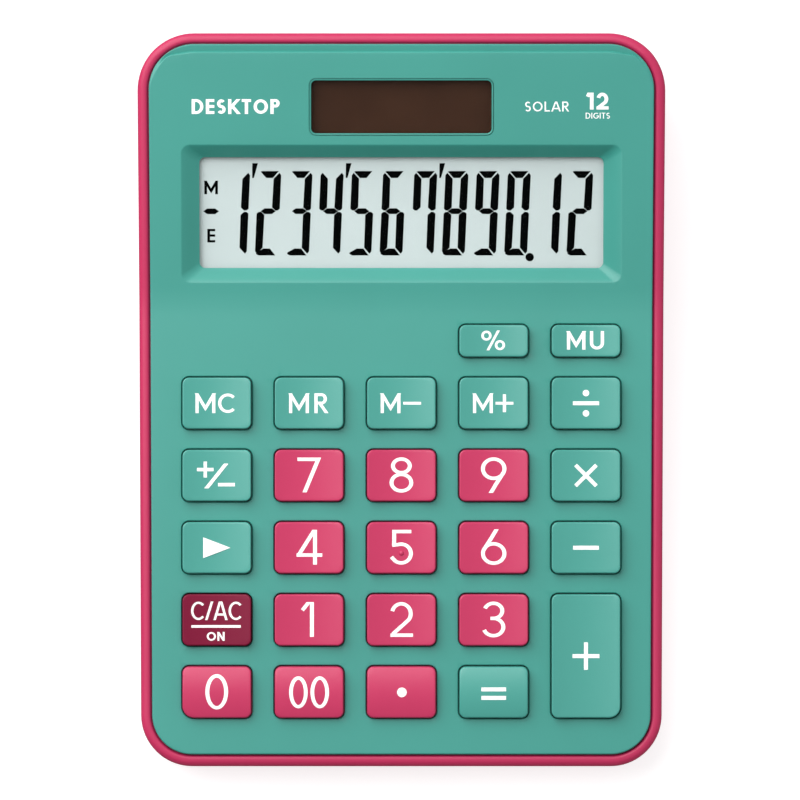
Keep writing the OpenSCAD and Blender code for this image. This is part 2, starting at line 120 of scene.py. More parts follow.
BOARD_BOSSES = [(-1.5 * PITCH_X, 22.2), (0.5 * PITCH_X, 22.2), (-1.5 * PITCH_X, 66), (1.5 * PITCH_X, 66),
                (-40, 93.5), (40, 93.5)]
# x, y, height of the screw's seat, top of the post, radius of the post, radius of the counterbore
SCREW_POSTS = [(side * x, *rest) for x, *rest in ((43.6, -66.7, 2.8, 5, 2.6, 2.2), (44, 57.5, 11, 12.5, 3.5, 2.5))
               for side in (-1, 1)]
LCD_BOSSES = [(x, s) for s in (8.5, 28) for x in (-45.5, 45.5)]
LCD_BOSS_R = 1.9
BOSS_BORE_R = 0.8
CELL = (28, 46)
BOARD_TOP = -5.8
SHEET_T = 0.8
DOME_FOOT_R = 4.6
KEY_TRAVEL = 1.5

FRONT_Y = -BODY_L / 2
CREASE_Y = FRONT_Y + CREASE_FROM_FRONT
SKIN_INSET = RIM_W + SEAM_GAP
CREST_Y = BODY_L / 2 - SKIN_INSET - LEDGE_W


def tan(degrees):
    return math.tan(math.radians(degrees))


def cos(degrees):
    return math.cos(math.radians(degrees))


def sin(degrees):
    return math.sin(math.radians(degrees))


CREASE_Z = BODY_H - (CREST_Y - CREASE_Y) * tan(DISPLAY_TILT)
FRONT_Z = CREASE_Z - CREASE_FROM_FRONT * tan(KEYPAD_TILT)


def top_z(y):
    """Height of the upper shell's face: the key field, a short blend at the crease, and the display panel."""
    keypad = FRONT_Z + (y - FRONT_Y) * tan(KEYPAD_TILT)
    panel = CREASE_Z + (y - CREASE_Y) * tan(DISPLAY_TILT)
    if y <= CREASE_Y - CREASE_BLEND:
        return keypad
    if y >= CREASE_Y + CREASE_BLEND:
        return panel
    rise = tan(DISPLAY_TILT) - tan(KEYPAD_TILT)
    return keypad + rise * (y - CREASE_Y + CREASE_BLEND) ** 2 / (4 * CREASE_BLEND)


def rim_z(y):
    return top_z(min(y, CREST_Y)) - RIM_DROP


class Slope:
    """One of the two flat faces, with its own coordinates x, s, h."""

    def __init__(self, tilt, y, z):
        self.tilt, self.y, self.z = tilt, y, z

    def out(self, x, s, h=0.0):
        c, d = cos(self.tilt), sin(self.tilt)
        return (x, self.y + s * c - h * d, self.z + s * d + h * c)

    def back(self, x, y, z):
        c, d = cos(self.tilt), sin(self.tilt)
        return (x, (y - self.y) * c + (z - self.z) * d, (z - self.z) * c - (y - self.y) * d)

    def loop(self, outline, h, at=(0, 0)):
        return [self.out(x + at[0], s + at[1], h) for x, s in outline]

    def box(self, node):
        """Lowest and highest x, s, h of a CAD node."""
        local = np.array([self.back(*(v.co / MM)) for v in frame["nodes"][node].data.vertices])
        return local.min(0), local.max(0)


KEYPAD = Slope(KEYPAD_TILT, FRONT_Y, FRONT_Z)
PANEL = Slope(DISPLAY_TILT, CREASE_Y, CREASE_Z)

# ---------- outlines ----------


def arc(cx, cy, rx, ry, start, end, steps):
    angles = [start + (end - start) * i / steps for i in range(steps + 1)]
    return [(cx + rx * cos(a), cy + ry * sin(a)) for a in angles]


def circle(r, steps=40):
    return arc(0, 0, r, r, 0, 360, steps)[:-1]


def between(a, b, steps):
    """The points that divide a straight line into equal steps, without its two ends."""
    return [tuple(a[j] + (b[j] - a[j]) * i / steps for j in range(len(a))) for i in range(1, steps)]


def rounded(w, l, r, front_left=0, front_right=0, steps=(8, 6)):
    """Rounded rectangle about the origin, anticlockwise. Its front corners may be rounder than the rest."""
    a, b = max(r, front_left), max(r, front_right)
    corners = [arc(a - w / 2, a - l / 2, a, a, 180, 270, 8), arc(w / 2 - b, b - l / 2, b, b, 270, 360, 8),
               arc(w / 2 - r, l / 2 - r, r, r, 0, 90, 8), arc(r - w / 2, l / 2 - r, r, r, 90, 180, 8)]
    points = []
    for i, corner in enumerate(corners):
        points += corner + between(corner[-1], corners[(i + 1) % 4][0], steps[i % 2])
    return points


def body_plan():
    """The body's outline in plan as (x, y, direction that the wall faces), anticlockwise from the front."""
    front = (FRONT_W / 2 - FRONT_CORNER_R, FRONT_Y + FRONT_CORNER_R)
    rear = (REAR_W / 2 - REAR_CORNER_R, BODY_L / 2 - REAR_CORNER_R)
    step = (rear[0] - front[0], rear[1] - front[1])
    tilt = math.degrees(math.atan2(step[1], step[0])
                        - math.acos((FRONT_CORNER_R - REAR_CORNER_R) / math.hypot(*step)))

    def corner(centre, r, start, end, steps=18):
        angles = [start + (end - start) * i / steps for i in range(steps + 1)]
        return [(centre[0] + r * cos(a), centre[1] + r * sin(a), a) for a in angles]

    right = corner(front, FRONT_CORNER_R, -90, tilt)
    rear_corner = corner(rear, REAR_CORNER_R, tilt, 90)
    right += between(right[-1], rear_corner[0], 64) + rear_corner
    left = [(-x, y, 180 - a) for x, y, a in reversed(right)]
    across = 16
    return (right + between(right[-1], left[0], across) + left
            + between(left[-1], (right[0][0], right[0][1], 270), across))


PLAN = body_plan()


def plan_ring(inset, height):
    """The plan moved in, as a loop in space. inset may be a function of facing, height one of y and facing."""
    ring = []
    for x, y, facing in PLAN:
        d = inset(facing) if callable(inset) else inset
        px, py = x - d * cos(facing), y - d * sin(facing)
        ring.append((px, py, height(py, facing) if callable(height) else height))
    return ring


def rim_ring(inset, drop):
    """A ring of the plan that lies drop below the rim's top."""
    return plan_ring(inset, lambda y, facing: rim_z(y) - drop)


# ---------- meshes ----------


def inside(outline, points):
    """For each point, whether it is inside the outline. Both are arrays of x, y."""
    result = np.zeros(len(points), bool)
    px, py = points[:, 0], points[:, 1]
    for (x0, y0), (x1, y1) in zip(outline, np.roll(outline, -1, axis=0)):
        if y0 != y1:
            crosses = ((y0 > py) != (y1 > py)) & (px < (x1 - x0) * (py - y0) / (y1 - y0) + x0)
            result ^= crosses
    return result


SHARP_ANGLE = math.radians(40)


class Mesh:
    def __init__(self):
        self.points, self.faces = [], []

    def add(self, points):
        start = len(self.points)
        self.points.extend(points)
        return list(range(start, len(self.points)))

    def bridge(self, a, b):
        n = len(a)
        self.faces += [(a[i], a[(i + 1) % n], b[(i + 1) % n], b[i]) for i in range(n)]

    def loft(self, loops):
        """Joins closed loops of equal length, and returns the first and the last one's indices."""
        rings = [self.add(loop) for loop in loops]
        for a, b in zip(rings, rings[1:]):
            self.bridge(a, b)
        return rings[0], rings[-1]

    def solid(self, loops):
        """A loft that is closed at both ends."""
        for ring in self.loft(loops):
            self.cap(ring)

    def fan(self, ring, centre):
        middle = self.add([centre])[0]
        self.faces += [(a, b, middle) for a, b in zip(ring, ring[1:] + ring[:1])]

    def cap(self, ring):
        self.fan(ring, tuple(np.mean([self.points[i] for i in ring], axis=0)))

    def fill(self, outer, holes=(), height=None, spacing=4.0, rows=()):
        """Triangles between a ring and the rings of its holes, with a grid of points on height(y) inside."""
        rings = [outer, *holes]
        index = [i for ring in rings for i in ring]
        flat = np.array([self.points[i][:2] for i in index])
        edges, start = [], 0
        for ring in rings:
            n = len(ring)
            edges += [(start + i, start + (i + 1) % n) for i in range(n)]
            start += n
        outlines = [np.array([self.points[i][:2] for i in ring]) for ring in rings]
        if height is not None:
            low, high = outlines[0].min(0), outlines[0].max(0)
            ys = sorted({round(y, 3) for y in np.arange(low[1] + spacing / 2, high[1], spacing)} | set(rows))
            xs = np.arange(low[0] + spacing / 2, high[0], spacing)
            grid = np.array([(x, y) for y in ys for x in xs])
            keep = inside(outlines[0], grid)
            for hole in outlines[1:]:
                keep &= ~inside(hole, grid)
            grid = grid[keep]
            nearest = np.array([np.min(np.hypot(*(flat - p).T)) for p in grid])
            grid = grid[nearest > spacing * 0.3]
            index += self.add([(x, y, height(y)) for x, y in grid])
            flat = np.vstack([flat, grid])
        _, _, triangles, origins, _, _ = delaunay_2d_cdt([Vector(p) for p in flat], edges, [], 0, 1e-6)
        centres = np.array([np.mean([flat[origins[i][0]] for i in t], axis=0) for t in triangles])
        keep = inside(outlines[0], centres)
        for hole in outlines[1:]:
            keep &= ~inside(hole, centres)
        for k, t in zip(keep, triangles):
            a, b, c = (flat[origins[i][0]] for i in t)
            if k and abs((b[0] - a[0]) * (c[1] - a[1]) - (b[1] - a[1]) * (c[0] - a[0])) > 2e-4:
                self.faces.append(tuple(index[origins[i][0]] for i in t))

    def build(self, name):
        """The finished object, in metres, with smooth faces and sharp edges where the surface turns sharply."""
        data = bpy.data.meshes.new(name)
        data.from_pydata([tuple(c * MM for c in p) for p in self.points], [], self.faces)
        bm = bmesh.new()
        bm.from_mesh(data)
        bmesh.ops.remove_doubles(bm, verts=bm.verts, dist=1e-7)
        bmesh.ops.dissolve_degenerate(bm, edges=bm.edges, dist=1e-7)
        bmesh.ops.recalc_face_normals(bm, faces=bm.faces)
        for face in bm.faces:
            face.smooth = True
        for edge in bm.edges:
            edge.smooth = edge.calc_face_angle(0) < SHARP_ANGLE
        bm.to_mesh(data)
        bm.free()
        obj = bpy.data.objects.new(name, data)
        bpy.context.scene.collection.objects.link(obj)
        modifier = obj.modifiers.new("even normals", "WEIGHTED_NORMAL")
        modifier.keep_sharp = True
        modifier.weight = 80
        return obj


def place(obj, body, slot, *nodes, material=None):
    """Finishes a piece: its material, named by slot unless material is given, the body it rides on and the CAD
    nodes it stands for.
    """
    obj.data.materials.clear()
    obj.data.materials.append(MATERIALS[material or slot])
    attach(obj, body)
    if nodes:
        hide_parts(*nodes)


def quarter(radius, steps=6):
    """Points of an edge rounding as (inset, drop), from the top face round to the wall."""
    return [(radius * (1 - sin(90 * i / steps)), radius * (1 - cos(90 * i / steps))) for i in range(steps + 1)]


def lathe(mesh, profile, where, steps):
    """Turns a profile of (r, h) about an axis. where(x, y, h) places a point, and r = 0 closes an end."""
    rings = [(r, mesh.add([where(x, y, h) for x, y in circle(r, steps)])) for r, h in profile if r > 0]
    for (_, a), (_, b) in zip(rings, rings[1:]):
        mesh.bridge(a, b)
    if profile[0][0] == 0:
        mesh.fan(rings[0][1], where(0, 0, profile[0][1]))
    if profile[-1][0] == 0:
        mesh.fan(rings[-1][1], where(0, 0, profile[-1][1]))
    if profile[0] == profile[-1]:
        mesh.bridge(rings[-1][1], rings[0][1])


# ---------- materials ----------


def srgb(r, g, b):
    """An sRGB colour from 0 to 255, as linear light."""
    return tuple((c / 255 / 12.92) if c < 11 else ((c / 255 + 0.055) / 1.055) ** 2.4 for c in (r, g, b)) + (1,)


def shade(colour, factor):
    return tuple(min(1, c * factor) for c in colour[:3]) + (1,)


def with_inputs(node, **values):
    """Sets inputs of a shader node. An underscore in a name stands for a space."""
    for name, value in values.items():
        node.inputs[name.replace("_", " ")].default_value = value
    return node


class Material:
    """A node material. Its fine detail is in the object's own coordinates, so it never slides."""

    def __init__(self, roughness, **sockets):
        self.data = bpy.data.materials.new("material")
        self.data.use_nodes = True
        self.nodes, self.links = self.data.node_tree.nodes, self.data.node_tree.links
        self.shader = with_inputs(self.nodes["Principled BSDF"], Roughness=roughness, **sockets)
        self.place = self.new("TexCoord").outputs["Object"]

    def new(self, kind, **inputs):
        return with_inputs(self.nodes.new(f"ShaderNode{kind}"), **inputs)

    def noise(self, size, detail=2.0, roughness=0.5, stretch=None):
        """Noise whose features are about size millimetres across, from 0 to 1."""
        node = self.new("TexNoise", Scale=1 / (size * MM), Detail=detail, Roughness=roughness)
        source = self.place
        if stretch:
            mapping = self.new("Mapping", Scale=stretch)
            self.links.new(self.place, mapping.inputs["Vector"])
            source = mapping.outputs["Vector"]
        self.links.new(source, node.inputs["Vector"])
        return node.outputs["Fac"]

    def ramp(self, value, stops):
        """Colours at positions along value."""
        node = self.new("ValToRGB")
        while len(node.color_ramp.elements) < len(stops):
            node.color_ramp.elements.new(0.5)
        for element, (position, colour) in zip(node.color_ramp.elements, stops):
            element.position, element.color = position, colour
        self.links.new(value, node.inputs["Fac"])
        return node.outputs["Color"]

    def colour(self, output):
        self.links.new(output, self.shader.inputs["Base Color"])

    def tint(self, size, detail, dark, light):
        """A colour that wanders between two others."""
        self.colour(self.ramp(self.noise(size, detail), [(0.3, dark), (0.7, light)]))

    def rough(self, value, low, high):
        """A roughness from low to high as value goes from 0 to 1."""
        node = self.new("MapRange", To_Min=low, To_Max=high)
        self.links.new(value, node.inputs["Value"])
        self.links.new(node.outputs["Result"], self.shader.inputs["Roughness"])

    def bump(self, value, depth, strength=1.0):
        """Raises the surface by up to depth millimetres."""
        node = self.new("Bump", Distance=depth * MM, Strength=strength)
        self.links.new(value, node.inputs["Height"])
        self.links.new(node.outputs["Normal"], self.shader.inputs["Normal"])


def moulded_plastic(colour, roughness, grain=0.16, depth=0.006, gloss=0.5):
    """Satin ABS: a faint unevenness of tone, a fine spark-eroded grain and slightly uneven gloss."""
    m = Material(roughness, Specular_IOR_Level=gloss)
    m.tint(22, 3, shade(colour, 0.975), shade(colour, 1.02))
    m.rough(m.noise(1.2, 4), roughness - 0.05, roughness + 0.05)
    m.bump(m.noise(grain, 3, 0.6), depth, 0.6)
    return m.data


def printed_ink(colour, roughness, gloss=0.5):
    m = Material(roughness, Specular_IOR_Level=gloss)
    m.colour(m.ramp(m.noise(0.5, 3), [(0.25, shade(colour, 0.96)), (0.6, colour)]))
    m.bump(m.noise(0.09, 2), 0.002, 0.5)
    return m.data


def clear_window(alpha):
    m = Material(0.06, Alpha=alpha, IOR=1.49)
    m.tint(30, 1, srgb(40, 46, 46), srgb(46, 52, 52))
    m.rough(m.noise(6, 2), 0.04, 0.08)
    return m.data


def metal(colour, roughness, stretch=None, grain=0.3):
    """Sheet metal, brushed along an axis where stretch says so."""
    m = Material(roughness, Metallic=1.0)
    m.tint(3, 3, shade(colour, 0.85), colour)
    m.rough(m.noise(1.5, 3, stretch=stretch), roughness - 0.08, roughness + 0.1)
    m.bump(m.noise(grain, 3, stretch=stretch), 0.002)
    return m.data


def rubber(colour, roughness, sheen=0.15):
    m = Material(roughness, Sheen_Weight=sheen)
    m.tint(2, 4, shade(colour, 0.85), shade(colour, 1.1))
    m.rough(m.noise(0.6, 3), roughness - 0.08, roughness + 0.08)
    m.bump(m.noise(0.15, 3), 0.01)
    return m.data


def solar_cell_glass():
    """Brown amorphous silicon behind glass, in four strips with hair-thin gaps."""
    m = Material(0.3, Specular_IOR_Level=0.1)
    split = m.new("SeparateXYZ")
    m.links.new(m.place, split.inputs["Vector"])
    strips = m.new("Math")
    strips.operation = "PINGPONG"
    strips.inputs[1].default_value = 4.5 * MM
    m.links.new(split.outputs["X"], strips.inputs[0])
    gap = m.new("Math")
    gap.operation = "LESS_THAN"
    gap.inputs[1].default_value = 0.05 * MM
    m.links.new(strips.outputs["Value"], gap.inputs[0])
    brown = m.ramp(m.noise(9, 3), [(0.3, srgb(54, 33, 22)), (0.7, srgb(60, 38, 26))])
    mix = m.new("Mix")
    mix.data_type = "RGBA"
    m.links.new(gap.outputs["Value"], mix.inputs["Factor"])
    m.links.new(brown, mix.inputs["A"])
    mix.inputs["B"].default_value = srgb(64, 42, 30)
    m.colour(mix.outputs["Result"])
    m.rough(m.noise(5, 2), 0.25, 0.35)
    return m.data


def board_laminate():
    """Green solder mask over a web of tracks."""
    m = Material(0.35, Coat_Weight=0.4)
    web = m.new("TexVoronoi", Scale=1 / (3.5 * MM))
    web.feature = "DISTANCE_TO_EDGE"
    web.distance = "MANHATTAN"
    m.links.new(m.place, web.inputs["Vector"])
    m.colour(m.ramp(web.outputs["Distance"], [(0.04, srgb(52, 128, 78)), (0.07, srgb(22, 84, 50))]))
    m.bump(m.noise(0.3, 2), 0.004)
    return m.data


MATERIALS = {
    "case_top_plastic": moulded_plastic(srgb(56, 145, 133), 0.4, gloss=0.55),
    "case_bottom_plastic": moulded_plastic(srgb(184, 43, 86), 0.38, gloss=0.35),
    "key_teal_plastic": moulded_plastic(srgb(64, 151, 139), 0.34, 0.12, 0.004, 0.6),
    "key_pink_plastic": moulded_plastic(srgb(190, 46, 90), 0.33, 0.12, 0.004, 0.45),
    "key_crimson_plastic": moulded_plastic(srgb(120, 14, 50), 0.38, 0.12, 0.004, 0.2),
    "legend_ink": printed_ink(srgb(252, 252, 250), 0.45),
    "display_ink": printed_ink(srgb(3, 4, 4), 0.9, 0.0),
    "window_acrylic": clear_window(0.01),
    "lcd_glass": clear_window(0.2),
    "lcd_reflector": metal(srgb(214, 224, 222), 0.5, grain=0.1),
    "solar_cell": solar_cell_glass(),
    "board_laminate": board_laminate(),
    "foam": rubber(srgb(44, 44, 46), 0.9, 0.3),
    "silicone": rubber(srgb(196, 200, 200), 0.5),
    "carbon_print": rubber(srgb(22, 22, 24), 0.6, 0),
    "foot_rubber": rubber(srgb(34, 34, 36), 0.7),
    "holder_plastic": moulded_plastic(srgb(226, 226, 220), 0.5),
    "ribbon_film": moulded_plastic(srgb(190, 140, 60), 0.25, 0.5, 0.002),
    "epoxy": moulded_plastic(srgb(16, 16, 18), 0.2, 1.5, 0.02),
    "capacitor_sleeve": moulded_plastic(srgb(30, 34, 88), 0.25),
    "resistor_body": moulded_plastic(srgb(20, 20, 22), 0.4),
    "battery_steel": metal((0.72, 0.73, 0.75, 1), 0.28, (1, 1, 8)),
    "contact_steel": metal((0.78, 0.70, 0.52, 1), 0.25, (1, 10, 1)),
    "screw_steel": metal((0.66, 0.67, 0.70, 1), 0.32),
    "label_foil": metal((0.78, 0.79, 0.80, 1), 0.45, (1, 20, 1)),
    "wire_red": moulded_plastic(srgb(176, 26, 26), 0.4),
    "wire_black": moulded_plastic(srgb(18, 18, 20), 0.4),
    "lcd_face": moulded_plastic(srgb(193, 206, 205), 0.5, 0.4, 0.001),
}
for material_name, each_material in MATERIALS.items():
    each_material.name = material_name

# ---------- keys ----------

PINK = {"key_0", "key_00", "key_point"} | {f"key_{i}" for i in range(1, 10)}
KEYS = sorted(n for n in frame["nodes"] if n.startswith("key_"))
KEY_TOP = KEYPAD.box("key_4")[1][2]
CAP_EDGE = 0.3


class Key:
    """Where a key is and how big it is, from its CAD node."""

    def __init__(self, node):
        self.node = node
        low, high = KEYPAD.box(node)
        self.at = ((low[0] + high[0]) / 2, (low[1] + high[1]) / 2)
        self.w = high[0] - low[0] - 2 * KEY_FLANGE
        self.l = high[1] - low[1] - 2 * KEY_FLANGE
        self.flange_bottom = low[2]
        self.flange_top = low[2] + FLANGE_T
        self.crowned = self.at[1] < 20 and self.l < 15
        self.short = self.l < 8
        self.rise = KEY_TOP if self.crowned else min(high[2], KEY_TOP)
        self.left_r = WIDE_CORNER_R if node == "key_0" else 0
        self.right_r = WIDE_CORNER_R if node == "key_plus" else 0
        self.slot = ("key_pink_plastic" if node in PINK else
                     "key_crimson_plastic" if node == "key_clear" else "key_teal_plastic")

    def face(self, x, s):
        """Height of the cap's face: crowned from front to back in the front row, dished across in the others."""
        if self.crowned:
            return self.rise - CROWN * (s / (self.l / 2)) ** 2
        return self.rise - DISH * (1 - (x / (self.w / 2)) ** 2)

    def outline(self, grow):
        return rounded(self.w + 2 * grow, self.l + 2 * grow, KEY_CORNER_R + grow,
                       self.left_r + grow if self.left_r else 0, self.right_r + grow if self.right_r else 0,
                       (10, 10))

    def out(self, x, s, h):
        return KEYPAD.out(x + self.at[0], s + self.at[1], h)

    def flat_ring(self, grow, h):
        return [self.out(x, s, h) for x, s in self.outline(grow)]


def key_cap(key):
    """A hollow cap with rounded edges, a flange that stops it under the upper shell, and a plunger."""
    mesh = Mesh()
    edge = key.outline(-CAP_EDGE)
    shares = [0.12, 0.3, 0.5, 0.7, 0.88]
    loops = [[key.out(x * t, s * t, key.face(x * t, s * t)) for x, s in edge] for t in shares]
    for inset, drop in quarter(CAP_EDGE):
        loops.append([key.out(x, s, key.face(x, s) - drop) for x, s in key.outline(-inset)])
    under = key.rise - CROWN - KEY_WALL
    loops += [key.flat_ring(0, key.flange_top), key.flat_ring(KEY_FLANGE, key.flange_top),
              key.flat_ring(KEY_FLANGE, key.flange_bottom), key.flat_ring(-KEY_WALL + 0.1, key.flange_bottom),
              key.flat_ring(-KEY_WALL, under)]
    first, last = mesh.loft(loops)
    mesh.fan(first, key.out(0, 0, key.face(0, 0)))
    mesh.fan(last, key.out(0, 0, under))
    r = SHORT_PLUNGER_R if key.short else PLUNGER_R
    lathe(mesh, [(0, key.flange_bottom), (r - 0.2, key.flange_bottom), (r, key.flange_bottom + 0.2),
                 (r, under + 0.3), (0, under + 0.3)], key.out, 32)
    if key.node == "key_5":
        dot = [(0, 0.25), (0.2, 0.24), (0.36, 0.18), (0.48, 0.07), (0.55, -0.1), (0, -0.1)]
        lathe(mesh, [(r, h + key.face(0, 0)) for r, h in dot], lambda x, y, h: key.out(x, y - 1.1, h), 24)
    place(mesh.build(f"cap_{key.node}"), key.node, key.slot, key.node)


# ---------- lettering: strokes on a grid where a capital is 1 high ----------


LEVEL_STROKES = 0.86  # how thick a level stroke is beside an upright one


def glyphs(w):
    """The characters as (width, strokes), for strokes w wide. A stroke is a list of centreline points."""
    e = w / 2
    low = e * LEVEL_STROKES
    top = 1 - low
    waist = 0.53
    stem = [(e, 0), (e, 1)]

    def oval(width):
        return width, [arc(width / 2, 0.5, width / 2 - e, 0.5 - e, 0, 360, 48)]

    hook = arc(0.335, top - 0.285, 0.325 - e, 0.285, 165, -38, 22) + [(0.03 + e, low + 0.03)]
    three = [arc(0.325, waist + (top - waist) / 2, 0.3 - e, (top - waist) / 2, 162, -90, 26) + [(0.24, waist)],
             arc(0.325, (waist + low) / 2, 0.33 - e, (waist - low) / 2, 90, -160, 30)]
    belly = arc(0.33, 0.295 + low / 2, 0.335 - e, 0.295 - low / 2, 110, -130, 28)
    six = [arc(0.355, 0.325, 0.355 - e, 0.325 - e, 0, 360, 48),
           [(0.47, 1.06), (0.28, 0.74), (0.15, 0.54), (e + 0.01, 0.4)]]
    bowl = [(0, top), (0.36, top)] + arc(0.36, 0.72, 0.27 - e, top - 0.72, 90, -90, 20) + [(0, 1.44 - top)]
    snake = (arc(0.3, 0.75 - e / 2, 0.28 - e, 0.25 - e / 2, 35, 270, 24)
             + arc(0.3, 0.25 + e / 2, 0.3 - e, 0.25 - e / 2, 90, -145, 24))
    return {
        "0": oval(0.635),
        "1": (0.36, [[(0.03, 0.765), (0.36 - w, 1.04)], [(0.36 - e, 0), (0.36 - e, 1)]]),
        "2": (0.67, [hook, [(0.02, low), (0.67, low)]]),
        "3": (0.66, three),
        "4": (0.76, [[(0.55, 0), (0.55, 1)], [(0.02, 0.275), (0.76, 0.275)],
                     [(0.6, 1.1), (0.03 + e * 0.6, 0.25)]]),
        "5": (0.67, [[(0.62, top), (0.07 + e, top), (0.07 + e, 0.54)],
                     [(0.07, 0.556)] + belly + [(0.048, 0.222)]]),
        "6": (0.71, six),
        "7": (0.67, [[(0, top), (0.655 - e, top), (0.17, -0.08)]]),
        "8": (0.66, [arc(0.33, 0.755, 0.29 - e, 0.245 - e, 0, 360, 44),
                     arc(0.33, 0.272 + e / 4, 0.33 - e, 0.272 + e / 4 - e, 0, 360, 48)]),
        "9": (0.71, [[(0.71 - x, 1 - y) for x, y in line] for line in six]),
        "A": (0.84, [[(-0.02, -0.1), (0.42, 1.1)], [(0.42, 1.1), (0.86, -0.1)], [(0.16, 0.3), (0.68, 0.3)]]),
        "C": (0.86, [arc(0.49, 0.5, 0.49 - e, 0.5 - e, 44, 316, 40)]),
        "D": (0.8, [stem, [(0, top), (0.3, top)] + arc(0.3, 0.5, 0.5 - e, top - 0.5, 90, -90, 30) + [(0, low)]]),
        "E": (0.58, [stem] + [[(e, y), (0.58, y)] for y in (top, 0.51, low)]),
        "G": (0.92, [arc(0.49, 0.5, 0.49 - e, 0.5 - e, 48, 345, 40), [(0.54, 0.46), (0.95, 0.46)]]),
        "I": (w, [stem]),
        "K": (0.76, [stem, [(e, 0.36), (0.78, 1.08)], [(0.26, 0.56), (0.8, -0.08)]]),
        "L": (0.54, [[(e, 1), (e, low), (0.54, low)]]),
        "M": (1.0, [stem, [(1 - e, 0), (1 - e, 1)],
                    [(e * 0.7 - 0.05, 1.08), (0.5, 0.24), (1.05 - e * 0.7, 1.08)]]),
        "N": (0.78, [stem, [(0.78 - e, 0), (0.78 - e, 1)], [(e * 0.7, 1.03), (0.78 - e * 0.7, -0.03)]]),
        "O": oval(0.98),
        "P": (0.64, [stem, bowl]),
        "R": (0.64, [stem, bowl, [(0.3, 0.46), (0.66, -0.06)]]),
        "S": (0.6, [snake]),
        "T": (0.64, [[(0.32, 0), (0.32, 1)], [(0, top), (0.64, top)]]),
        "U": (0.76, [[(e, 1)] + arc(0.38, 0.36, 0.38 - e, 0.36 - e, 180, 360, 30) + [(0.76 - e, 1)]]),
        "/": (0.42, [[(-0.02, -0.08), (0.44, 1.08)]]),
        "%": (1.2, [arc(x, y, 0.26 - e, 0.26 - e, 0, 360, 32) for x, y in ((0.26, 0.74), (0.94, 0.26))]
              + [[(0.3, -0.06), (0.9, 1.06)]]),
        "+": (0.9, [[(0, 0.5), (0.9, 0.5)], [(0.45, 0.05), (0.45, 0.95)]]),
        "-": (0.9, [[(0, 0.5), (0.9, 0.5)]]),
    }


def finer(points, step):
    """The same line with no segment longer than step."""
    result = [points[0]]
    for b in points[1:]:
        if math.dist(result[-1], b) > 1e-6:
            result += between(result[-1], b, max(1, math.ceil(math.dist(result[-1], b) / step))) + [b]
    return result


def ribbon(points, width, level=1.0):
    """A stroke's four-cornered pieces, mitred where it turns. Where it runs level it is level times as wide."""
    p = np.array(points, float)
    closed = math.dist(points[0], points[-1]) < 1e-6
    if closed:
        p[-1] = p[0]
    step = np.diff(p, axis=0)
    step /= np.maximum(np.hypot(*step.T), 1e-9)[:, None]
    before = np.vstack([step[-1:] if closed else step[:1], step])
    after = np.vstack([step, step[:1] if closed else step[-1:]])
    along = before + after
    along /= np.maximum(np.hypot(*along.T), 1e-9)[:, None]
    mitre = 1 / np.maximum((along * after).sum(1), 0.35)
    side = np.column_stack([-along[:, 1], along[:, 0] * level]) * (width / 2 * mitre)[:, None]
    left, right = p + side, p - side
    return [[tuple(left[i]), tuple(left[i + 1]), tuple(right[i + 1]), tuple(right[i])] for i in range(len(p) - 1)]


def clip(polygon, level, keep_above):
    """The part of a convex polygon above or below a level."""
    sign = 1 if keep_above else -1
    result = []
    for a, b in zip(polygon, polygon[1:] + polygon[:1]):
        da, db = sign * (a[1] - level), sign * (b[1] - level)
        if da >= 0:
            result.append(a)
        if (da > 0 and db < 0) or (da < 0 and db > 0):
            t = da / (da - db)
            result.append((a[0] + (b[0] - a[0]) * t, a[1] + (b[1] - a[1]) * t))
    return result


def text(words, height, weight, centre=(0, 0), gap=0.14, widen=1.0):
    """Polygons of a line of capitals or digits, centred on a point. height and weight are in millimetres."""
    w = weight / height
    alphabet = glyphs(w)
    polygons, pen = [], 0.0
    for name in words:
        width, lines = alphabet[name]
        for line in lines:
            for piece in ribbon(finer([(x * widen + pen, y) for x, y in line], 0.12), w, LEVEL_STROKES):
                piece = clip(clip(piece, 0, True), 1, False)
                if len(piece) >= 3:
                    polygons.append(piece)
        pen += width * widen + gap
    shift = (pen - gap) / 2
    return [[((x - shift) * height + centre[0], (y - 0.5) * height + centre[1]) for x, y in p] for p in polygons]


def strokes(lines, weight):
    return [piece for line in lines for piece in ribbon(finer(line, 0.5), weight)]


def bar(x0, x1, y, weight):
    return strokes([[(x0, y), (x1, y)]], weight)


def disc(x, y, r):
    return [[(x + px, y + py) for px, py in circle(r, 28)]]


INK_T = 0.02


def decal(mesh, polygons, out):
    """A thin printed layer. Overlapping polygons become one shape, and out(x, y, lift) places it on a surface."""
    points, faces = [], []
    for polygon in polygons:
        faces.append(list(range(len(points), len(points) + len(polygon))))
        points += [Vector(p) for p in polygon]
    flat, _, triangles, _, _, _ = delaunay_2d_cdt(points, [], faces, 0, 1e-5)
    centres = np.array([sum((flat[i] for i in t), Vector((0, 0))) / 3 for t in triangles])
    inked = np.any([inside(np.array(polygon), centres) for polygon in polygons], axis=0)
    triangles = [t for t, keep in zip(triangles, inked) if keep]
    upper = mesh.add([out(p.x, p.y, INK_T) for p in flat])
    lower = mesh.add([out(p.x, p.y, -INK_T) for p in flat])
    used = {}
    for t in triangles:
        mesh.faces.append(tuple(upper[i] for i in t))
        mesh.faces.append(tuple(lower[i] for i in reversed(t)))
        for a, b in zip(t, t[1:] + t[:1]):
            used.setdefault(frozenset((a, b)), []).append((a, b))
    for sides in used.values():
        if len(sides) == 1:
            a, b = sides[0]
            mesh.faces.append((upper[b], upper[a], lower[a], lower[b]))


DIGIT_H = 6.95
DIGIT_W = 0.79
MEMORY_H = 4.0
MEMORY_W = 0.64

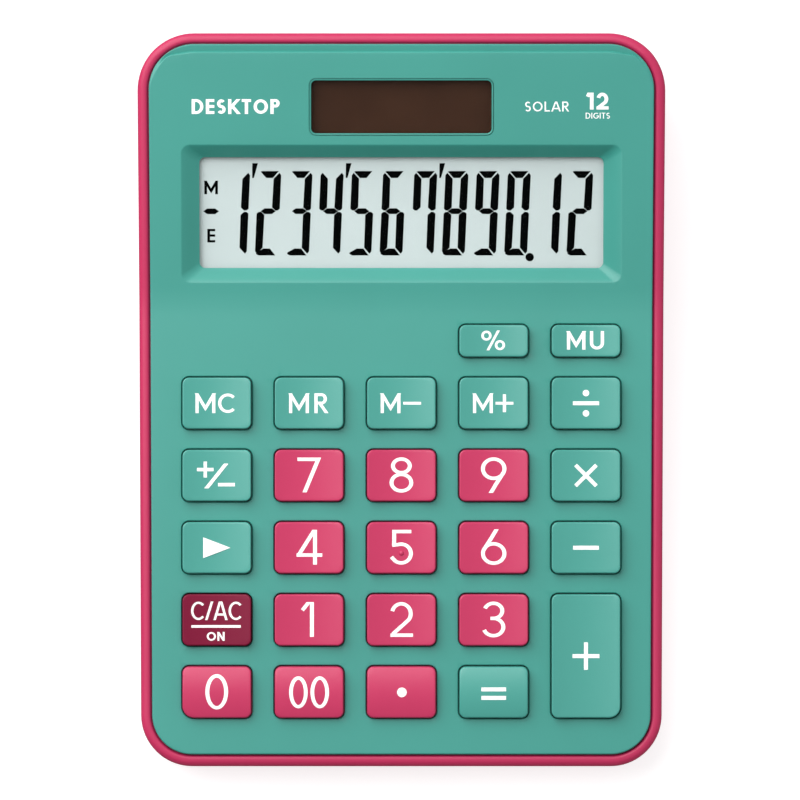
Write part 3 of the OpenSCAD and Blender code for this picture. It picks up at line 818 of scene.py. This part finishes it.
# What is printed on each key, in x and s from its centre
LEGENDS = {name: text(name, DIGIT_H * (1.04 if name in "03689" else 1.01), DIGIT_W,
                      (-0.3 if name == "1" else 0, 0.1)) for name in "0123456789"}
LEGENDS |= {
    "00": text("00", 6.55, 0.76, gap=0.1, widen=0.88),
    "point": disc(0.1, 0, 0.98),
    "percent": text("%", 4.0, 0.52, (-0.1, 0.1)),
    "mark_up": text("MU", 3.75, 0.66, (-0.1, 0.1), 0.24),
    "memory_clear": text("MC", MEMORY_H, MEMORY_W, (-0.3, 0)),
    "memory_recall": text("MR", MEMORY_H, MEMORY_W, (-0.2, 0), 0.28),
    "memory_minus": text("M-", MEMORY_H, MEMORY_W, (-0.1, 0)),
    "memory_plus": text("M+", MEMORY_H, MEMORY_W, (-0.1, 0)),
    "divide": bar(-2.65, 2.65, 0, 0.78) + disc(0, 2.05, 0.66) + disc(0, -2.05, 0.66),
    "multiply": strokes([[(-2.1, -2.1), (2.1, 2.1)], [(-2.1, 2.1), (2.1, -2.1)]], 0.76),
    "minus": bar(-2.6, 2.6, 0, 0.8),
    "plus": strokes([[(-2.72, 0), (2.72, 0)], [(0, -2.78), (0, 2.78)]], 0.8),
    "equals": bar(-2.5, 2.5, 0.6, 0.8) + bar(-2.5, 2.5, -1.12, 0.8),
    "sign_change": (strokes([[(-4.0, 1.2), (-0.65, 1.2)], [(-2.33, -0.42), (-2.33, 2.82)],
                             [(0.25, -1.85), (3.65, -1.85)]], 0.68)
                    + [[(-2.55, -2.6), (-1.65, -2.6), (2.35, 2.4), (1.45, 2.4)]]),
    "backspace": [[(-2.75, 2.1), (-2.75, -2.1), (2.75, 0)]],
    "clear": (text("C/AC", 3.75, 0.48, (-0.08, 1.85), 0.115, 0.79) + bar(-5.15, 4.85, -1.3, 0.52)
              + text("ON", 1.8, 0.38, (-0.22, -3.32), 0.16, 1.05)),
}


def key_legend(key):
    mesh = Mesh()
    decal(mesh, LEGENDS[key.node[len("key_"):]], lambda x, s, lift: key.out(x, s, key.face(x, s) + lift))
    place(mesh.build(f"legend_{key.node}"), key.node, None, material="legend_ink")


# ---------- upper shell ----------


def smooth_step(t):
    t = min(1, max(0, t))
    return t * t * (3 - 2 * t)


SIDE_EDGE = 0.3
REAR_LEDGE = [(LEDGE_W + 0.12, 0), (LEDGE_W, 0.05), (LEDGE_W - 0.2, 0.26), (LEDGE_W - 0.38, 0.52),
              (0.42, 0.36), (0.2, 0.44), (0.04, 0.72), (0, 1.05)]


def shell_ring(k):
    """Ring k of the upper shell's edge: a small rounding, which widens into a low ledge along the rear."""
    side_in, side_drop = quarter(SIDE_EDGE, len(REAR_LEDGE) - 1)[k]
    rear_in, rear_drop = REAR_LEDGE[k]

    def inset(facing):
        share = 0.3 * smooth_step(sin(facing) / 0.5) + 0.7 * smooth_step((sin(facing) - 0.75) / 0.25)
        return SKIN_INSET + side_in + (rear_in - side_in) * share

    def height(y, facing):
        share = smooth_step((sin(facing) - 0.45) / 0.5)
        return top_z(y) - side_drop - (rear_drop - side_drop) * share

    return plan_ring(inset, height)


def hole_loops(slope, outline, at, edge, depth):
    """Loops of a hole's rounded edge and its wall. outline(grow) gives the hole's shape."""
    loops = [slope.loop(outline(inset), -drop, at) for inset, drop in quarter(edge, 5)]
    return loops + [slope.loop(outline(0), -depth, at)]


def upper_shell():
    mesh = Mesh()
    rings = [shell_ring(k) for k in range(len(REAR_LEDGE))]
    rings += [rim_ring(SKIN_INSET, SKIRT_H), rim_ring(SKIN_INSET + SKIRT_T, SKIRT_H),
              rim_ring(SKIN_INSET + SKIRT_T, TOP_WALL - RIM_DROP)]
    outside, within = mesh.loft(rings)
    holes = []
    for key in map(Key, KEYS):
        grown = lambda g, key=key: key.outline(KEY_GAP + g)
        holes.append(hole_loops(KEYPAD, grown, key.at, 0.22, TOP_WALL))
    solar = lambda g: rounded(SOLAR[0] + 2 * g, SOLAR[1] + 2 * g, 1 + g, steps=(16, 6))
    bead = [(0.48, 0), (0.46, -0.03), (0.45, -0.4), (0.31, -0.4), (0.3, -0.07), (0.25, -0.01), (0.09, -0.01),
            (0.03, -0.05), (0, -0.15), (0, -SOLAR_LIP), (1.4, -SOLAR_LIP), (1.4, -TOP_WALL)]
    holes.append([PANEL.loop(solar(g), h, (0, SOLAR_S)) for g, h in bead])
    holes.append(display_recess())
    ends = [mesh.loft(loops) for loops in holes]
    rows = [CREASE_Y + CREASE_BLEND * i / 4 for i in range(-4, 5)]
    mesh.fill(outside, [first for first, _ in ends], top_z, 3.5, rows)
    mesh.fill(within, [last for _, last in ends], lambda y: top_z(y) - TOP_WALL, 6, rows[::4])
    for x, s in BOARD_BOSSES:
        boss(mesh, KEYPAD, x, s, BOSS_R, BOARD_TOP)
    for x, s in LCD_BOSSES:
        boss(mesh, PANEL, x, s, LCD_BOSS_R, LCD_TOP - 1.6)
    place(mesh.build("upper_shell"), "case", "case_top_plastic", "top_case")


def boss(mesh, slope, x, s, r, low):
    """A bored screw boss that hangs from the ceiling."""
    high = -TOP_WALL + 0.2
    lathe(mesh, [(BOSS_BORE_R, low), (r, low), (r, high), (BOSS_BORE_R, high), (BOSS_BORE_R, low)],
          lambda u, v, h: slope.out(x + u, s + v, h), 32)


def display_recess():
    """Loops from the bezel's rounded mouth down its sloped walls, round the window's seat to the ceiling."""
    steps = (28, 10)
    mouth = lambda g: rounded(BEZEL[0] + 2 * g, BEZEL[1] + 2 * g, 1.7 + g, steps=steps)
    throat = rounded(*VIEW, 1.2, steps=steps)
    seat = rounded(VIEW[0] + 3.7, VIEW[1] + 3.9, 1.7, steps=steps)
    block = [(x, s - 0.85) for x, s in rounded(95, 30.8, 1.5, steps=steps)]
    at = (0, VIEW_S)
    bottom, back = -BEZEL_DEPTH, LCD_TOP + 0.05
    spots = [(mouth(0.28), 0), (mouth(0.12), -0.02), (mouth(-0.05), -0.09)]
    for t in (0.2, 0.4, 0.6, 0.8, 0.95):
        mix = [(a[0] + (b[0] - a[0]) * t, a[1] + (b[1] - a[1]) * t) for a, b in zip(mouth(0), throat)]
        spots.append((mix, bottom * t))
    spots += [(throat, bottom + 0.04), (throat, bottom), (seat, bottom), (seat, back), (block, back),
              (block, -TOP_WALL)]
    return [PANEL.loop(outline, h, at) for outline, h in spots]


# ---------- lower shell ----------

BEAD_OUT = 1.2
BEAD_IN = 0.7


def lower_shell():
    """The tray: a flat base, a curved belly, walls that end in a rounded rim, and the same again inside."""
    mesh = Mesh()
    rings = [plan_ring(BELLY_RUN * (1 - cos(a)), BASE_Z + BELLY_RISE * (1 - sin(a))) for a in range(90, -1, -9)]
    rings += [rim_ring(BEAD_OUT * (1 - cos(a)), BEAD_OUT * (1 - sin(a))) for a in range(0, 91, 15)]
    rings += [rim_ring(RIM_W - BEAD_IN * (1 - sin(a)), BEAD_IN * (1 - cos(a))) for a in range(0, 91, 15)]
    rings.append(rim_ring(RIM_W + SEAM_GAP - 0.04, BEAD_IN + 0.12))
    run, rise = 1.2, BELLY_RISE - 1.3
    rings += [plan_ring(RIM_W + run * (1 - cos(a)), FLOOR_Z + rise * (1 - sin(a))) for a in range(0, 91, 15)]
    outside, within = mesh.loft(rings)
    edge = 0.2
    base_holes, floor_holes = [], []

    def sink(loops):
        first, last = mesh.loft(loops)
        base_holes.append(first)
        return last

    def turned(x, y, profile):
        return [[(x + u, y + v, z) for u, v in circle(r)] for r, z in profile]

    for x, y, seat, top, post_r, bore_r in SCREW_POSTS:
        profile = [(bore_r + edge, BASE_Z), (bore_r, BASE_Z + edge), (bore_r, seat), (1.15, seat), (1.15, top),
                   (post_r - edge, top), (post_r, top - edge), (post_r, FLOOR_Z)]
        floor_holes.append(sink(turned(x, y, profile)))
    for node in FEET:
        x, y, _ = foot_top(node)
        r = 4.1
        mesh.cap(sink(turned(x, y, [(r + edge, BASE_Z), (r, BASE_Z + edge), (r, BASE_Z + 0.8)])))
    label = [(46.3, 20.3, BASE_Z), (46, 20, BASE_Z + 0.1), (46, 20, BASE_Z + 0.2)]
    mesh.cap(sink([[(x, y, z) for x, y in rounded(w, l, 1, steps=(10, 5))] for w, l, z in label]))
    mesh.fill(outside, base_holes, lambda y: BASE_Z, 8)
    mesh.fill(within, floor_holes, lambda y: FLOOR_Z, 8)
    battery_pocket(mesh)
    place(mesh.build("lower_shell"), "case", "case_bottom_plastic", "bottom_case")


def battery_pocket(mesh):
    """Two curved walls round the button cell, with gaps at the rear and on the left for its contacts."""
    inner, outer, top = 6.2, 7.7, FLOOR_Z + 5.2
    low = FLOOR_Z - 0.2
    for start, end in ((-155, 64), (116, 155)):
        n = max(4, round((end - start) / 9))
        ring = arc(*CELL, outer, outer, start, end, n) + arc(*CELL, inner, inner, end, start, n)
        first, last = mesh.loft([[(x, y, z) for x, y in ring] for z in (low, top)])
        for side in (first, last):
            mesh.faces += [(side[i], side[i + 1], side[-2 - i], side[-1 - i]) for i in range(n)]


# ---------- parts under the keys ----------

def rubber_keypad():
    """The silicone sheet, and a dome under each key."""
    mesh = Mesh()
    w, low, high = 91, 10, 91
    l = high - low
    outer = rounded(w, l, 3, steps=(24, 20))
    top = BOARD_TOP + SHEET_T
    cuts = [(Key(n).at, DOME_FOOT_R - 0.1) for n in KEYS]
    cuts += [(at, BOSS_R + 0.4) for at in BOARD_BOSSES if at[1] < high]
    rings = mesh.loft([KEYPAD.loop([(x * (1 - 2 * inset / w), s * (1 - 2 * inset / l)) for x, s in outer],
                                   top - drop, (0, (low + high) / 2))
                       for inset, drop in ((0.15, 0), (0, 0.15), (0, SHEET_T))])
    holes = [mesh.loft([KEYPAD.loop(circle(r, 32), h, at) for h in (top, BOARD_TOP)]) for at, r in cuts]
    mesh.fill(rings[0], [first for first, _ in holes])
    mesh.fill(rings[1], [last for _, last in holes])
    place(mesh.build("keypad_sheet"), "case", "silicone", "rubber_keypad")
    for key in map(Key, KEYS):
        dome(key)


def dome(key):
    top, foot, pill = key.flange_bottom - 0.02, BOARD_TOP + SHEET_T, BOARD_TOP + KEY_TRAVEL
    mesh = Mesh()
    profile = [(0, top), (2.45, top), (2.6, top - 0.15), (2.6, top - 0.6), (4.2, foot + 0.12), (4.35, foot),
               (4.48, foot), (4.48, BOARD_TOP), (3.4, BOARD_TOP), (3.4, foot - 0.3), (1.9, top - 0.9),
               (1.5, top - 0.9), (1.5, pill), (0, pill)]
    lathe(mesh, profile, key.out, 32)
    obj = mesh.build(f"dome_{key.node}")
    place(obj, "case", "silicone")
    axis = Vector(KEYPAD.out(0, 0, 1)) - Vector(KEYPAD.out(0, 0, 0))
    anchor = [c * MM for c in key.out(0, 0, BOARD_TOP)]
    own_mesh(obj)


# ---------- display ----------

DISPLAY_TEXT = "123456789012"
DIGIT_PITCH = 6.31
SEGMENTS = {"0": "abcdef", "1": "bc", "2": "abged", "3": "abgcd", "4": "fgbc", "5": "afgcd", "6": "afgecd",
            "7": "fabc", "8": "abcdefg", "9": "abcdfg"}
SEG_W = 4.65
SEG_H = 17.15
SEG_MID = 9.0
SEG_SIDE = 1.58
SEG_BAR = 1.4
SEG_MID_BAR = 1.15
SEG_GAP = 0.07
SEG_CORNER = 0.45
SLANT = 0.045


def segment(name):
    """One bar of a digit, before the slant, in x from the digit's left and y from its foot."""
    w, h, mid, gap, corner = SEG_W, SEG_H, SEG_MID, SEG_GAP, SEG_CORNER
    side, half = SEG_SIDE, SEG_MID_BAR / 2
    inner, under_bar, over_bar = w - side, h - SEG_BAR, SEG_BAR
    upper_right = [(inner + gap, under_bar - 0.1 - gap), (w - corner + gap, h - 0.35), (w, h - corner - 0.4),
                   (w, mid + 0.5), (w - 0.35, mid + 0.18), (w - side * 0.55, mid + 0.12),
                   (inner, mid + half + 0.18)]
    lower_right = [(inner, mid - half - 0.18), (w - side * 0.55, mid - 0.12), (w - 0.35, mid - 0.18),
                   (w, mid - 0.5), (w, corner + 0.4), (w - corner + gap, 0.35),
                   (inner + gap, over_bar + 0.1 + gap)]
    return {
        "a": [(0.45, h - 0.12), (corner + 0.35, h), (w - corner - gap, h), (inner - gap, under_bar),
              (side + gap, under_bar)],
        "d": [(side + gap, over_bar), (inner - gap, over_bar), (w - corner - gap, 0), (corner + 0.35, 0),
              (0.2, 0.3), (0.25, 0.6)],
        "g": [(0.8, mid), (side - 0.02, mid + half), (inner + 0.02, mid + half), (w - 0.8, mid),
              (inner + 0.02, mid - half), (side - 0.02, mid - half)],
        "b": upper_right,
        "c": lower_right,
        "f": [(w - x, y) for x, y in reversed(upper_right)],
        "e": [(w - x, y) for x, y in reversed(lower_right)],
    }[name]


def display_marks():
    """The lit segments, the three group marks, the point and the small indicators, about the window's centre."""
    polygons = []
    left, foot = 4.85 - VIEW[0] / 2, -8.82
    for i, digit in enumerate(DISPLAY_TEXT):
        x0 = left + i * DIGIT_PITCH
        for name in SEGMENTS[digit]:
            polygons.append([(x0 + x + y * SLANT, foot + y) for x, y in segment(name)])
        if i in (0, 3, 6):
            tip = x0 + SEG_W + 1.1
            mark = [(tip + 0.05, 15.75), (tip + 0.4, 15.75), (tip + 1.25, 18.75), (tip + 0.1, 18.75)]
            polygons.append([(x, foot + y) for x, y in mark])
    polygons += disc(left + 9 * DIGIT_PITCH + SEG_W + 0.55, foot - 0.35, 0.85)
    column = 2.35 - VIEW[0] / 2
    dash = [(-1.6, 0.15), (-0.8, 0.72), (0.8, 0.72), (1.6, 0.15), (0.8, -0.42), (-0.8, -0.42)]
    polygons.append([(column + x, y) for x, y in dash])
    for name, y in (("M", 5.0), ("E", -4.8)):
        polygons += text(name, 2.75, 0.55, (column, y))
    return polygons


def display():
    film_top = LCD_TOP + 0.08
    mesh = Mesh()
    outline = rounded(84.4, 25.2, 0.8, steps=(10, 5))
    mesh.solid([PANEL.loop(outline, h, (0, VIEW_S)) for h in (film_top, LCD_TOP + 0.005)])
    place(mesh.build("lcd_polariser"), "case", "lcd_glass", material="lcd_face")
    mesh = Mesh()
    decal(mesh, display_marks(), lambda x, s, lift: PANEL.out(x, s + VIEW_S, film_top + lift))
    place(mesh.build("lcd_segments"), "case", None, material="display_ink")
    window("display_window", VIEW_S, 1.5, 0.2)
    window("solar_window", SOLAR_S, 0.8, 0.15)


def window(node, s, corner, edge):
    """A clear plate with rounded edges, in its CAD node's box."""
    low, high = PANEL.box(node)
    w, l = high[0] - low[0], high[1] - low[1]
    mesh = Mesh()
    top = [(edge * (1 - sin(a)), high[2] - edge * (1 - cos(a))) for a in range(0, 91, 30)]
    under = [(inset, low[2] + high[2] - h) for inset, h in reversed(top)]
    mesh.solid([PANEL.loop(rounded(w - 2 * inset, l - 2 * inset, corner - inset, steps=(12, 6)), h, (0, s))
                for inset, h in top + under])
    place(mesh.build(f"pane_{node}"), "case", "window_acrylic", node)


def panel_print():
    """Plain words beside the solar cell."""
    s = SOLAR_S + 0.1
    mesh = Mesh()
    polygons = text("DESKTOP", 3.0, 0.66, (-33.4, s), 0.17, 0.98)
    polygons += text("SOLAR", 2.0, 0.3, (29.3, s), 0.2, 1.0)
    polygons += text("12", 3.4, 0.74, (39.6, s + 1.1), 0.14, 1.1)
    polygons += text("DIGITS", 1.2, 0.19, (39.6, s - 1.85), 0.16)
    decal(mesh, polygons, lambda x, y, lift: PANEL.out(x, y, lift))
    place(mesh.build("panel_print"), "case", None, material="legend_ink")


# ---------- small parts ----------

FEET = sorted(n for n in frame["nodes"] if n.startswith("foot_"))


def foot_top(node):
    """The middle of a foot's upper face."""
    low, high = (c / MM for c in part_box(node))
    return (low.x + high.x) / 2, (low.y + high.y) / 2, high.z


def feet():
    """Rubber feet with a rounded lower edge and a shallow ring moulded into the sole."""
    for node in FEET:
        x, y, top = foot_top(node)
        profile = [(0, 0.02), (1.2, 0.02), (1.3, 0.14), (1.7, 0.14), (1.8, 0.0), (3.2, 0.0), (3.55, 0.06),
                   (3.82, 0.22), (3.95, 0.5), (4.0, 0.8), (4.0, top), (0, top)]
        mesh = Mesh()
        lathe(mesh, profile, lambda u, v, h: (x + u, y + v, h), 48)
        place(mesh.build(f"pad_{node}"), "case", "foot_rubber", node)


def solar_cushion():
    """The foam block behind the solar cell, with soft edges and slightly pulled-in sides."""
    low, high = PANEL.box("solar_cushion")
    mid = ((low[0] + high[0]) / 2, (low[1] + high[1]) / 2)
    w, l = high[0] - low[0], high[1] - low[1]
    loops = []
    for i in range(9):
        t = i / 8
        inset = 0.25 * sin(180 * t) + 0.2 * abs(2 * t - 1) ** 8
        loops.append(PANEL.loop(rounded(w - 2 * inset, l - 2 * inset, 0.8), low[2] + (high[2] - low[2]) * t, mid))
    mesh = Mesh()
    mesh.solid(loops)
    obj = mesh.build("cushion_block")
    place(obj, "case", "foam", "solar_cushion")


def finish_cad_nodes():
    """CAD nodes whose shape is right keep it and get their own materials; the screws, battery, capacitor and chip
    cover also get softened edges.
    """
    slots = {part["node"]: part["material_slot"] for part in frame["record"]["subparts"]}
    for node, obj in frame["nodes"].items():
        if obj.hide_render:
            continue
        obj.data.materials.clear()
        obj.data.materials.append(MATERIALS[slots[node]])
        if node in ("case_screws", "board_screws", "battery", "capacitor", "chip_cover"):
            bevel = obj.modifiers.new("soft edges", "BEVEL")
            bevel.width = 0.06 * MM
            bevel.segments = 2
            bevel.limit_method = "ANGLE"
            bevel.angle_limit = math.radians(40)


# ---------- scene ----------

VIEW_DISTANCE = 1500
VIEW_WIDTH = 161.8
LOOK_AT = (-0.28, 73.95)
LIGHT_AT = (-0.38, 0.38, 0.62)
SKY_RISE = (0.15, 0.25, 0.6)  # how much lighter the sky is at the right, at the rear and overhead
HORIZON = 0.15
DARKEST_SKY = 0.03


def camera():
    """Looks straight down on the key field from well above it."""
    lens = bpy.data.cameras.new("camera")
    lens.sensor_width = 36
    lens.lens = lens.sensor_width * VIEW_DISTANCE / VIEW_WIDTH
    lens.clip_end = 10
    obj = bpy.data.objects.new("camera", lens)
    obj.location = [c * MM for c in KEYPAD.out(*LOOK_AT, VIEW_DISTANCE)]
    obj.rotation_euler = Euler((math.radians(KEYPAD_TILT), 0, 0))
    bpy.context.scene.collection.objects.link(obj)
    bpy.context.scene.camera = obj


def sky():
    """A soft grey surround that gets lighter upwards and towards the rear."""
    bpy.context.scene.world = world = bpy.data.worlds.new("studio")
    world.use_nodes = True
    nodes, links = world.node_tree.nodes, world.node_tree.links
    slope = nodes.new("ShaderNodeVectorMath")
    slope.operation = "DOT_PRODUCT"
    slope.inputs[1].default_value = SKY_RISE
    links.new(nodes.new("ShaderNodeTexCoord").outputs["Generated"], slope.inputs[0])
    light = with_inputs(nodes.new("ShaderNodeMapRange"), From_Min=DARKEST_SKY - HORIZON, To_Min=DARKEST_SKY,
                        From_Max=DARKEST_SKY - HORIZON + 1, To_Max=DARKEST_SKY + 1)
    links.new(slope.outputs["Value"], light.inputs["Value"])
    links.new(light.outputs["Result"], nodes["Background"].inputs["Strength"])
    with_inputs(nodes["Background"], Color=(1, 1, 1, 1))


def key_light():
    """One large soft light at the rear left."""
    data = bpy.data.lights.new("key_light", "AREA")
    data.shape = "DISK"
    data.size = 1.1
    data.energy = 10.4
    obj = bpy.data.objects.new("key_light", data)
    obj.location = LIGHT_AT
    obj.rotation_euler = (Vector((0, 0, 0.01)) - Vector(LIGHT_AT)).to_track_quat("-Z", "Y").to_euler()
    bpy.context.scene.collection.objects.link(obj)


def pale_floor():
    mesh = Mesh()
    size = 3000
    mesh.cap(mesh.add([(x, y, 0) for x, y in rounded(size, size, 300)]))
    obj = mesh.build("floor")
    m = Material(0.7)
    m.tint(60, 3, (0.36, 0.36, 0.36, 1), (0.40, 0.40, 0.40, 1))
    m.bump(m.noise(0.8, 2), 0.005)
    with_inputs(m.shader, Emission_Color=(1, 1, 1, 1), Emission_Strength=0.75)
    obj.data.materials.append(m.data)
    obj.visible_glossy = False


bpy.context.scene.view_settings.view_transform = "Standard"
camera()
sky()
key_light()
pale_floor()
upper_shell()
lower_shell()
for each_key in map(Key, KEYS):
    key_cap(each_key)
    key_legend(each_key)
rubber_keypad()
display()
panel_print()
feet()
solar_cushion()
finish_cad_nodes()
